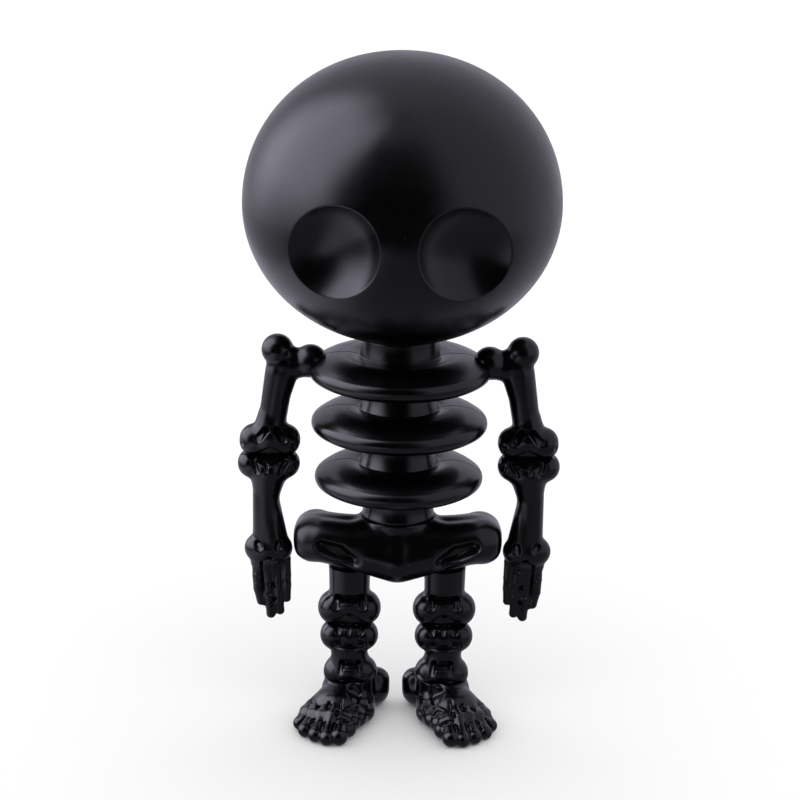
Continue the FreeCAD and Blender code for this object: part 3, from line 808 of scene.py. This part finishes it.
hand = {
    "fingers": [    # path of each finger's joints from the elbow, and its radius
        ([(3.4, -0.2, -33.5), (3.4, -0.6, -38.5), (3.2, -0.6, -42.4), (2.3, -0.4, -46.4)], 1.8),
        ([(0.4, -0.5, -33.0), (0.2, -0.9, -39.8), (-0.1, -0.7, -44.8), (-0.5, -0.2, -50.6)], 1.75),
        ([(-2.4, -0.4, -33.0), (-2.6, -0.8, -39.4), (-2.9, -0.6, -44.2), (-3.2, -0.1, -49.6)], 1.65),
        ([(-5.0, -0.4, -33.0), (-5.2, -0.7, -38.0), (-5.3, -0.6, -41.6), (-5.2, -0.2, -45.6)], 1.55),
    ],
    "webs": [
        ((1.9, 0.0, -34), (1.1, 0.0, -46.8), 1.7, 1.5),
        ((-1.0, -0.2, -34), (-1.8, 0.0, -49.0), 1.7, 1.45),
        ((-3.8, -0.2, -34), (-4.2, 0.0, -45.4), 1.7, 1.4),
    ],
    "knuckle": 0.1,
    "taper": 0.05,
    "marks": [
        (front, 1.3, 0.6, [(-1.0, -5, -31.4, 0.3), (0.0, -5, -31.2, 0.3), (2.1, -5, -33.2, 0.3)]),
        (front, 1.3, 0.5, [(2.1, -4, -33.2, 0.25), (1.9, -2, -45.2, 0.2)]),
        (back, 0.9, 0.5, [(2.1, 4, -34.2, 0.2), (1.9, 2, -45.2, 0.15)]),
        (front, 0.45, 0.5, [(-0.8, -3, -36.5, 0.1), (-1.1, -2, -47.0, 0.2)]),
        (front, 0.9, 0.6, [(-2.2, -4, -35.3, 0.45)]),
        (front, 0.45, 0.5, [(-3.5, -3, -34.5, 0.1), (-3.8, -2, -45.0, 0.2)]),
        (front, 0.7, 0.5, [(0.1, -3, -40.6, 0.35)]),
        (front, 0.9, 0.5, [(-1.1, -3, -40.4, 0.35), (-1.4, -3, -41.8, 0.4)]),
        (front, 0.9, 0.5, [(-0.1, -3, -43.9, 0.5)]),
        (front, 0.8, 0.5, [(-1.6, -3, -45.4, 0.4), (-1.1, -3, -46.8, 0.35), (-0.5, -3, -47.8, 0.3)]),
        (front, 0.5, 0.45, [(4.3, -3, -37.2, 0.28)]),
        (front, 0.5, 0.45, [(3.2, -3, -38.4, 0.28), (2.9, -3, -38.9, 0.2)]),
        (front, 0.5, 0.45, [(4.3, -3, -40.3, 0.28)]),
        (front, 0.6, 0.45, [(3.0, -3, -41.4, 0.35)]),
        (front, 0.6, 0.45, [(-4.2, -3, -40.0, 0.2), (-5.6, -3, -39.4, 0.2)]),
        (back, 0.45, 0.5, [(-0.9, 3, -36.5, 0.1), (-1.1, 2, -47.0, 0.2)]),
        (back, 0.45, 0.5, [(-3.5, 3, -34.5, 0.1), (-3.8, 2, -44.0, 0.2)]),
    ],
}
pockets = {
    "elbow": [(1.4, 3.0 - 0.12), (2.2, 4.25)],    # radius and depth of the stem's and the flange's room
    "leg": [(1.7, 3.0 - 0.12), (2.5, 4.45)],
}


roughSkin = (0.35, 14)    # voxel and rounds of smoothing under the fine skin


def formed(form, base):
    bm = bmesh.new()
    for x, y, z, radius, stretch in form["balls"]:
        addBall(bm, base, x, y, z, radius, stretch)
    for start, end, first, last in form["bars"]:
        addBar(bm, base, start, end, first, last)
    return bm


def asClay(bm):
    # a fresh working mesh with the same skin, ready for more forms
    mesh = bpy.data.meshes.new("clay")
    bm.to_mesh(mesh)
    bm.free()
    fresh = bmesh.new()
    fresh.from_mesh(mesh)
    bpy.data.meshes.remove(mesh)
    return fresh


def makeUpperArm():
    elbow = jointPlace["elbow_left_swivel"]
    bm = skinned(formed(upperArm, elbow), *roughSkin)
    bm = skinned(bm, upperArm["voxel"], 4)
    pressed(bm, elbow, upperArm["marks"])
    relaxed(bm, 3)
    trimmed(bm, spanOf("upper_arm_left")[0].z, 1, (elbow.x, elbow.y))
    return meshObject("upperArmLeft", bm, limbVinyl)


def makeForearm():
    elbow = jointPlace["elbow_left_swivel"]
    whole = asClay(skinned(formed(forearm, elbow), *roughSkin))
    for start, end, first, last in hand["webs"]:
        addBar(whole, elbow, start, end, first, last)
    for joints, radius in hand["fingers"]:
        sizes = [radius * (1 - hand["taper"] * number) for number in range(len(joints))]
        for a, b, size in zip(joints, joints[1:], sizes):
            addBar(whole, elbow, a, b, size - hand["knuckle"], size - hand["knuckle"] * 1.5, False)
        for joint, size in zip(joints, sizes):
            addBall(whole, elbow, *joint, size)
    bm = skinned(whole, forearm["voxel"], 5)
    pressed(bm, elbow, forearm["marks"] + hand["marks"])
    relaxed(bm, 2)
    trimmed(bm, spanOf("forearm_left")[1].z, -1, (elbow.x, elbow.y), pockets["elbow"])
    return meshObject("forearmLeft", bm, limbVinyl)


def bothSides(piece, body, node, material):
    standsFor(piece, body + "_left", node + "_left")
    other = mirrored(piece, piece.name.replace("Left", "Right"), material)
    standsFor(other, body + "_right", node + "_right")


bothSides(makeUpperArm(), "upper_arm", "upper_arm", limbVinyl)
bothSides(makeForearm(), "forearm", "forearm", limbVinyl)
print("arms made")


# legs

thigh = {
    "voxel": 0.2,
    "balls": [
        (-4.0, 0, 4.9, 5.55, (1, 1.02, 1)),
        (4.0, 0, 4.9, 5.55, (1, 1.02, 1)),
    ],
    "bars": [
        ((0, 0, 5.0), (0, 0, 17.0), 5.95, 6.2),
        ((0, 0, 14.0), (0, 0, 25.0), 6.1, 6.6),
        ((-3.9, 0, 4.9), (3.9, 0, 4.9), 5.5, 5.5),
    ],
    "marks": [
        (front, 2.3, 0.9, [
            (-5.6, -5, 0.4, 0.9), (-2.6, -5, 1.1, 1.5), (0, -5, 2.4, 2.2),
            (2.6, -5, 1.1, 1.5), (5.4, -5, 0.4, 0.9),
        ]),
        (front, 1.9, 0.8, [(-3.6, -5, 9.6, 0.9), (3.3, -5, 9.6, 0.9)]),
        (front, 1.9, 0.8, [(-3.6, -5, 9.3, 0.9), (-4.2, -5, 6.7, 0.9)]),
        (front, 1.9, 0.8, [(3.3, -5, 9.3, 0.9), (3.9, -5, 6.8, 0.9)]),
        (front, 1.7, 0.8, [(-1.8, -5, 8.8, 0.9), (1.8, -5, 8.8, 0.9)]),
        (fromInside, 0.9, 0.9, [(-8.2, -2, 2.4, 0.7)]),
        (fromOutside, 0.8, 0.9, [(8.2, -2, 2.4, 0.7)]),
        (back, 1.8, 0.9, [(0, 5, 0.4, 1.3), (0, 5, 5.4, 1.0)]),
        (back, 0.9, 0.9, [(-2.8, 5, 9.6, 1.0), (2.8, 5, 9.6, 1.0)]),
    ],
}
shin = {
    "voxel": 0.2,
    "balls": [
        (-3.9, 0, -3.9, 4.95, (1, 1.02, 1)),
        (3.9, 0, -3.9, 4.95, (1, 1.02, 1)),
        (-4.0, 0, -16.0, 4.7, (1, 1.05, 1.1)),
        (3.1, 0, -16.0, 4.7, (1, 1.05, 1.1)),
    ],
    "bars": [
        ((0, 0, -4.0), (0, 0, -15.0), 5.45, 5.45),
        ((-3.8, 0, -3.8), (3.8, 0, -3.8), 4.9, 4.9),
        ((0, 0, -9.0), (-0.5, 0, -15.5), 5.4, 6.4),
        ((-3.9, 0, -15.6), (3.0, 0, -15.6), 4.7, 4.7),
    ],
    "marks": [
        (front, 1.5, 0.8, [(-4.8, -5, 0.3, 0.6), (4.8, -5, 0.3, 0.6)]),
        (front, 0.9, 0.5, [(-0.1, -5, -0.4, 0.25), (-0.1, -5, -2.6, 0.2)]),
        (front, 1.5, 0.7, [(3.7, -5, -0.2, 0.65), (3.3, -5, -1.7, 0.55)]),
        (front, 1.5, 0.7, [(-4.1, -5, -0.2, 0.65), (-3.6, -5, -1.9, 0.55)]),
        (front, 1.5, 0.8, [
            (-4.4, -5, -5.4, 0.7), (-2.9, -5, -5.1, 0.85), (0, -5, -6.2, 0.65),
            (2.9, -5, -5.1, 0.85), (4.4, -5, -5.4, 0.7),
        ]),
        (front, 1.1, 0.6, [(-4.6, -5, -6.4, 0.35), (4.6, -5, -6.4, 0.35)]),
        (front, 1.7, 0.7, [(-2.7, -5, -11.2, 0.75), (1.9, -5, -11.2, 0.75)]),
        (front, 1.7, 0.7, [(-2.8, -5, -11.4, 0.65), (-3.4, -5, -14.3, 0.6)]),
        (front, 1.7, 0.7, [(2.0, -5, -11.4, 0.65), (2.5, -5, -14.2, 0.6)]),
        (front, 1.6, 0.7, [(-1.6, -5, -12.3, 0.8), (0.9, -5, -12.3, 0.8)]),
        (front, 2.0, 0.8, [(-3.8, -5, -17.4, 0.5), (-0.5, -5, -16.9, 1.4), (2.8, -5, -17.4, 0.5)]),
        (fromInside, 0.9, 0.8, [(-7.6, -3, -15.6, 0.6), (-6.6, -4, -16.6, 0.6)]),
        (back, 1.3, 0.8, [(-2.4, 5, -5.6, 0.9), (2.4, 5, -5.6, 0.9)]),
        (back, 1.1, 0.8, [(0, 5, -12.4, 1.1), (0, 5, -14.6, 1.0)]),
    ],
}
foot = {
    "voxel": 0.22,
    "roughSkin": (0.4, 16),
    "toeWaist": 0.1,
    "soleMiddle": (1.0, -7.0),
    "balls": [
        (0.9, 0.6, 6.2, 7.5, (1.0, 1.0, 1.0)),
        (-7.0, 5.6, 4.8, 5.4, (1, 1, 1)),
        (-8.3, 5.8, 7.4, 4.2, (1, 1, 1)),
        (3.2, -7.0, 4.2, 7.8, (1, 1.1, 0.9)),
        (-4.8, -7.6, 3.2, 3.4, (1, 1.25, 1)),
        (-3.2, -12.0, 3.0, 2.8, (1, 1.2, 1)),
        (-2.6, -3.0, 4.0, 5.6, (1, 1, 1)),
    ],
    "bars": [
        ((0, 0, 1), (0, 0, 12.5), 7.4, 7.4),
        ((-5.5, 5.5, 4.0), (0, 0, 4.0), 5.0, 6.6),
    ],
    "webs": [
        (2.2, -17.5, 4.6, 3.1), (3.2, -21.6, 3.0, 2.7), (5.6, -16.5, 4.8, 3.1), (6.8, -20.6, 2.9, 2.6),
        (8.8, -14.4, 4.4, 3.0), (10.0, -17.9, 2.7, 2.5), (11.4, -11.2, 3.8, 2.8), (12.4, -14.2, 2.6, 2.3),
        (-1.0, -16.0, 3.4, 2.9), (-0.2, -19.4, 2.8, 2.6),
    ],
    "toes": [    # path of each toe's joints from the ankle's foot, each with its radius
        [
            (-1.2, -4.5, 7.6, 3.0), (-0.4, -13.0, 5.0, 2.5), (0.9, -17.8, 4.3, 2.75),
            (1.8, -20.8, 3.4, 2.25), (2.3, -24.3, 2.6, 2.7),
        ],
        [
            (1.2, -4.5, 8.4, 2.6), (3.7, -13.0, 6.9, 1.7), (4.4, -17.6, 6.1, 2.15),
            (5.2, -21.0, 4.3, 1.75), (5.7, -24.6, 2.3, 2.4),
        ],
        [
            (3.0, -4.0, 8.2, 2.6), (6.4, -11.8, 6.3, 1.7), (7.5, -16.2, 5.6, 2.1),
            (8.4, -19.0, 4.0, 1.7), (9.2, -22.4, 2.2, 2.3),
        ],
        [
            (4.4, -3.0, 7.8, 2.6), (9.0, -10.2, 5.6, 1.7), (10.4, -13.8, 4.9, 2.05),
            (11.4, -16.0, 3.6, 1.7), (12.4, -19.0, 2.1, 2.2),
        ],
        [
            (5.2, -1.6, 7.2, 2.6), (11.0, -7.2, 4.8, 1.8), (12.6, -10.2, 4.0, 2.0),
            (13.4, -11.8, 3.0, 1.7), (14.2, -14.0, 2.0, 2.1),
        ],
    ],
    "marks": [
        ((0, 0.45, -0.9), 1.7, 1.6, [(-1.4, -7.0, 10.4, 2.3), (-1.9, -10.6, 8.9, 1.2)]),
        ((0.75, 0.6, -0.3), 1.3, 0.8, [(-7.2, -6.6, 6.2, 0.7), (-5.6, -10.2, 4.2, 0.6)]),
        ((0, 0.4, -0.9), 1.0, 0.7, [(2.1, -12.4, 8.0, 0.45), (2.3, -14.6, 7.5, 0.45)]),
        ((0, 0.4, -0.9), 1.2, 0.7, [(2.7, -17.0, 6.6, 0.7), (3.0, -18.4, 6.0, 0.6)]),
        ((0, 0.4, -0.9), 1.0, 0.7, [(5.5, -13.0, 7.2, 0.5), (5.9, -16.0, 6.6, 0.55)]),
        ((0, 0.4, -0.9), 1.0, 0.7, [(8.7, -12.8, 6.4, 0.65), (9.1, -14.4, 6.0, 0.5)]),
        ((-0.3, 0.4, -0.9), 0.8, 0.7, [(11.3, -10.6, 5.4, 0.45)]),
        ((0.2, 0.5, -0.8), 1.2, 0.8, [(-2.0, -14.8, 6.6, 0.9), (-0.6, -15.8, 7.0, 0.7)]),
        ((0.1, 0.5, -0.8), 1.0, 0.7, [(1.2, -20.6, 5.6, 0.6), (-0.4, -20.4, 5.0, 0.5)]),
        ((0, 0.5, -0.8), 1.3, 0.7, [(3.5, -21.6, 5.0, 0.7), (3.9, -23.8, 4.2, 0.6)]),
        ((0, 0.5, -0.8), 1.1, 0.7, [(6.8, -20.4, 4.8, 0.55), (7.4, -22.4, 3.6, 0.6)]),
        ((0, 0.5, -0.8), 1.1, 0.7, [(9.9, -17.6, 4.4, 0.5), (10.8, -19.6, 3.0, 0.6)]),
        ((-0.2, 0.5, -0.8), 1.0, 0.7, [(12.4, -14.6, 3.6, 0.45), (13.4, -15.8, 2.6, 0.45)]),
        ((0.8, 0.2, 0), 0.9, 1.4, [(-7.4, -0.6, 3.2, 1.2)]),
    ],
}


def makeThigh():
    knee = jointPlace["knee_left_swivel"]
    bm = skinned(formed(thigh, knee), *roughSkin)
    bm = skinned(bm, thigh["voxel"], 4)
    pressed(bm, knee, thigh["marks"])
    relaxed(bm, 3)
    low, high = spanOf("thigh_left")
    trimmed(bm, low.z, 1, (knee.x, knee.y))
    trimmed(bm, high.z, -1, (knee.x, knee.y), pockets["leg"])
    return meshObject("thighLeft", bm, limbVinyl)


def makeShin():
    knee = jointPlace["knee_left_swivel"]
    bm = skinned(formed(shin, knee), *roughSkin)
    bm = skinned(bm, shin["voxel"], 4)
    pressed(bm, knee, shin["marks"])
    relaxed(bm, 3)
    low, high = spanOf("shin_left")
    trimmed(bm, low.z, 1, (knee.x, knee.y))
    trimmed(bm, high.z, -1, (knee.x, knee.y), pockets["leg"])
    return meshObject("shinLeft", bm, limbVinyl)


def makeFoot():
    ankle = jointPlace["ankle_left_swivel"]
    base = Vector((ankle.x, ankle.y, 0))
    bm = formed({"balls": foot["balls"], "bars": []}, base)
    for start, end, first, last in foot["bars"]:
        addBar(bm, base, start, end, first, last, False)
    whole = asClay(skinned(bm, *foot["roughSkin"]))
    for joints in foot["toes"]:
        for a, b in zip(joints, joints[1:]):
            addBar(whole, base, a[:3], b[:3], a[3] - foot["toeWaist"], b[3] - foot["toeWaist"], False)
        for x, y, z, radius in joints:
            addBall(whole, base, x, y, z, radius)
    for x, y, z, radius in foot["webs"]:
        addBall(whole, base, x, y, z, radius)
    bm = skinned(whole, foot["voxel"], 8)
    pressed(bm, base, foot["marks"])
    relaxed(bm, 3)
    middle = [place + offset * mm for place, offset in zip((ankle.x, ankle.y), foot["soleMiddle"])]
    trimmed(bm, 0.0, 1, middle)
    trimmed(bm, spanOf("foot_left")[1].z, -1, (ankle.x, ankle.y), pockets["leg"])
    return meshObject("footLeft", bm, limbVinyl)


bothSides(makeThigh(), "thigh", "thigh", limbVinyl)
bothSides(makeShin(), "shin", "shin", limbVinyl)
bothSides(makeFoot(), "foot", "foot", limbVinyl)
print("legs made")


# stage, light and camera

studio = {
    "lens": 99.9,
    "cameraPlace": (0.0001, -0.620, 0.285),
    "aim": (0.0001, 0, 0.0987),
    "roll": 0.8,
    "ambient": 1.15,
    "right": 0.52,
    "back": 0.58,
    "top": 0.40,
    "leftBox": 2.6,
    "tint": (1.0, 0.965, 1.15),
    "leanFrom": 15.0,    # above this rise, in degrees, the walls' edges lean by this share of it
    "leanShare": 0.4,
    "rightLean": 0.4,    # the right wall's edge leans this share of what the left's does
    "rightEdge": (27.0, 40.0),    # turns and rises in degrees; turn 0 is the camera's side
    "leftEdge": (-56.0, -42.0),
    "backEdge": (95.0, 115.0),
    "topEdge": (50.0, 68.0),
    "boxFar": (-142.0, -118.0),
    "boxNear": (-68.0, -46.0),
    "boxFoot": (-15.0, 14.0),
    "boxTop": (62.0, 80.0),
    "mat": 0.19,    # what the near floor, the floor behind and the floor on the left give the gloss
    "matBack": 0.5,
    "matLeft": 0.75,
    "matFarLeft": 0.27,
    "matNearEdge": -0.40,
    "matHalf": 0.6,    # metres, as are the places where the mat's light changes
    "matFade": 0.05,
    "matDepth": (-0.04, 0.10),
    "matAside": (-0.03, -0.11),
    "matFarAside": (-0.15, -0.24),
}


def makeCamera():
    data = bpy.data.cameras.new("camera")
    data.lens = studio["lens"]
    data.sensor_width = 36
    camera = bpy.data.objects.new("camera", data)
    bpy.context.scene.collection.objects.link(camera)
    place = Vector(studio["cameraPlace"])
    look = (Vector(studio["aim"]) - place).to_track_quat("-Z", "Y").to_matrix().to_4x4()
    roll = Matrix.Rotation(math.radians(studio["roll"]), 4, "Z")
    camera.matrix_world = Matrix.Translation(place) @ look @ roll
    bpy.context.scene.camera = camera


def mathNode(tree, operation, first, second=None):
    node = tree.nodes.new("ShaderNodeMath")
    node.operation = operation
    for slot, value in zip(node.inputs, (first, second)):
        if isinstance(value, (int, float)):
            slot.default_value = value
        elif value is not None:
            tree.links.new(value, slot)
    return node.outputs["Value"]


def makeStudio():
    # the light that falls on the figure is even all round. What its gloss mirrors is a pattern
    # that only glossy rays see: a bright box on the left, dimmer walls on both sides, behind and
    # overhead, and darkness on the camera's side
    world = bpy.data.worlds.new("studio")
    bpy.context.scene.world = world
    world.use_nodes = True
    tree = world.node_tree
    glow = tree.nodes["Background"]
    where = tree.nodes.new("ShaderNodeTexCoord")
    split = tree.nodes.new("ShaderNodeSeparateXYZ")
    tree.links.new(where.outputs["Generated"], split.inputs["Vector"])
    x, y, z = [split.outputs[c] for c in "XYZ"]

    def times(first, second):
        return mathNode(tree, "MULTIPLY", first, second)

    def ramp(source, edge, low, high):
        return rangeNode(tree, source, *studio[edge], low, high)

    turn = times(mathNode(tree, "ARCTAN2", x, times(y, -1.0)), 180 / math.pi)
    rise = times(mathNode(tree, "ARCSINE", z), 180 / math.pi)
    aside = mathNode(tree, "ABSOLUTE", turn)
    above = mathNode(tree, "MAXIMUM", mathNode(tree, "SUBTRACT", rise, studio["leanFrom"]), 0.0)
    lean = times(above, studio["leanShare"])
    leaned = mathNode(tree, "SUBTRACT", turn, lean)
    rightSide = ramp(mathNode(tree, "ADD", turn, times(lean, studio["rightLean"])), "rightEdge", 0.0, 1.0)
    leftSide = ramp(leaned, "leftEdge", 1.0, 0.0)
    wall = times(mathNode(tree, "MAXIMUM", rightSide, leftSide), studio["right"])
    wall = mathNode(tree, "ADD", wall, ramp(aside, "backEdge", 0.0, studio["back"] - studio["right"]))
    wall = mathNode(tree, "MAXIMUM", wall, ramp(rise, "topEdge", 0.0, studio["top"]))
    box = times(ramp(turn, "boxFar", 0.0, 1.0), ramp(leaned, "boxNear", 1.0, 0.0))
    box = times(box, ramp(rise, "boxFoot", 0.0, 1.0))
    box = times(box, ramp(rise, "boxTop", 1.0, 0.0))
    wall = mathNode(tree, "ADD", wall, times(box, studio["leftBox"]))
    ray = tree.nodes.new("ShaderNodeLightPath")
    plain = mathNode(tree, "SUBTRACT", 1.0, ray.outputs["Is Glossy Ray"])
    mirror = times(wall, ray.outputs["Is Glossy Ray"])
    strength = mathNode(tree, "ADD", mirror, times(plain, studio["ambient"]))
    tree.links.new(strength, glow.inputs["Strength"])
    hue = tree.nodes.new("ShaderNodeMix")
    hue.data_type = "RGBA"
    hue.inputs["A"].default_value = (1.0, 1.0, 1.0, 1)
    hue.inputs["B"].default_value = (*studio["tint"], 1)
    tree.links.new(ray.outputs["Is Glossy Ray"], hue.inputs["Factor"])
    tree.links.new(hue.outputs["Result"], glow.inputs["Color"])


def makeFloor():
    bm = bmesh.new()
    bmesh.ops.create_grid(bm, x_segments=1, y_segments=1, size=4.0)
    material, _, shader = newMaterial("pale floor")
    shader.inputs["Base Color"].default_value = (0.93, 0.93, 0.93, 1)
    shader.inputs["Roughness"].default_value = 0.9
    shader.inputs["Specular IOR Level"].default_value = 0.1
    floor = meshObject("floor", bm, material, smooth=False)
    floor.visible_glossy = False


def makeMirroredFloor():
    # seen only by the gloss, a millimetre under the floor: its light as the figure mirrors it
    half = studio["matHalf"]
    bm = bmesh.new()
    bmesh.ops.create_grid(bm, x_segments=1, y_segments=1, size=half)
    bmesh.ops.translate(bm, verts=bm.verts, vec=(0, studio["matNearEdge"] + half, -0.001))
    material, tree, _ = newMaterial("mirrored floor")
    glow = tree.nodes.new("ShaderNodeEmission")
    where = tree.nodes.new("ShaderNodeTexCoord")
    split = tree.nodes.new("ShaderNodeSeparateXYZ")
    tree.links.new(where.outputs["Object"], split.inputs["Vector"])
    x, y = split.outputs["X"], split.outputs["Y"]
    nearEdge = studio["matNearEdge"]
    deep = rangeNode(tree, y, *studio["matDepth"], studio["mat"], studio["matBack"])
    left = rangeNode(tree, x, *studio["matAside"], 0.0, studio["matLeft"])
    farLeft = rangeNode(tree, x, *studio["matFarAside"], 9.0, studio["matFarLeft"])    # 9 is past any light
    left = mathNode(tree, "MINIMUM", left, farLeft)
    edge = rangeNode(tree, y, nearEdge, nearEdge + studio["matFade"], 0.0, 1.0)
    level = mathNode(tree, "MULTIPLY", mathNode(tree, "MAXIMUM", deep, left), edge)
    glow.inputs["Color"].default_value = (*studio["tint"], 1)
    tree.links.new(level, glow.inputs["Strength"])
    tree.links.new(glow.outputs["Emission"], tree.nodes["Material Output"].inputs["Surface"])
    mirroredFloor = meshObject("mirroredFloor", bm, material, smooth=False)
    for kind in ("camera", "diffuse", "transmission", "shadow", "volume_scatter"):
        setattr(mirroredFloor, "visible_" + kind, False)


makeStudio()
makeFloor()
makeMirroredFloor()
makeCamera()
bpy.context.scene.view_settings.view_transform = "Standard"
print("stage made")

slotFinish = {
    "head_vinyl": headVinyl,
    "body_vinyl": bodyVinyl,
    "limb_vinyl": limbVinyl,
    "joint_plastic": jointPlastic,
}
for part in frame["record"]["subparts"]:
    node = bpy.data.objects[part["node"]]
    node.data.materials.clear()
    node.data.materials.append(slotFinish[part["material_slot"]])
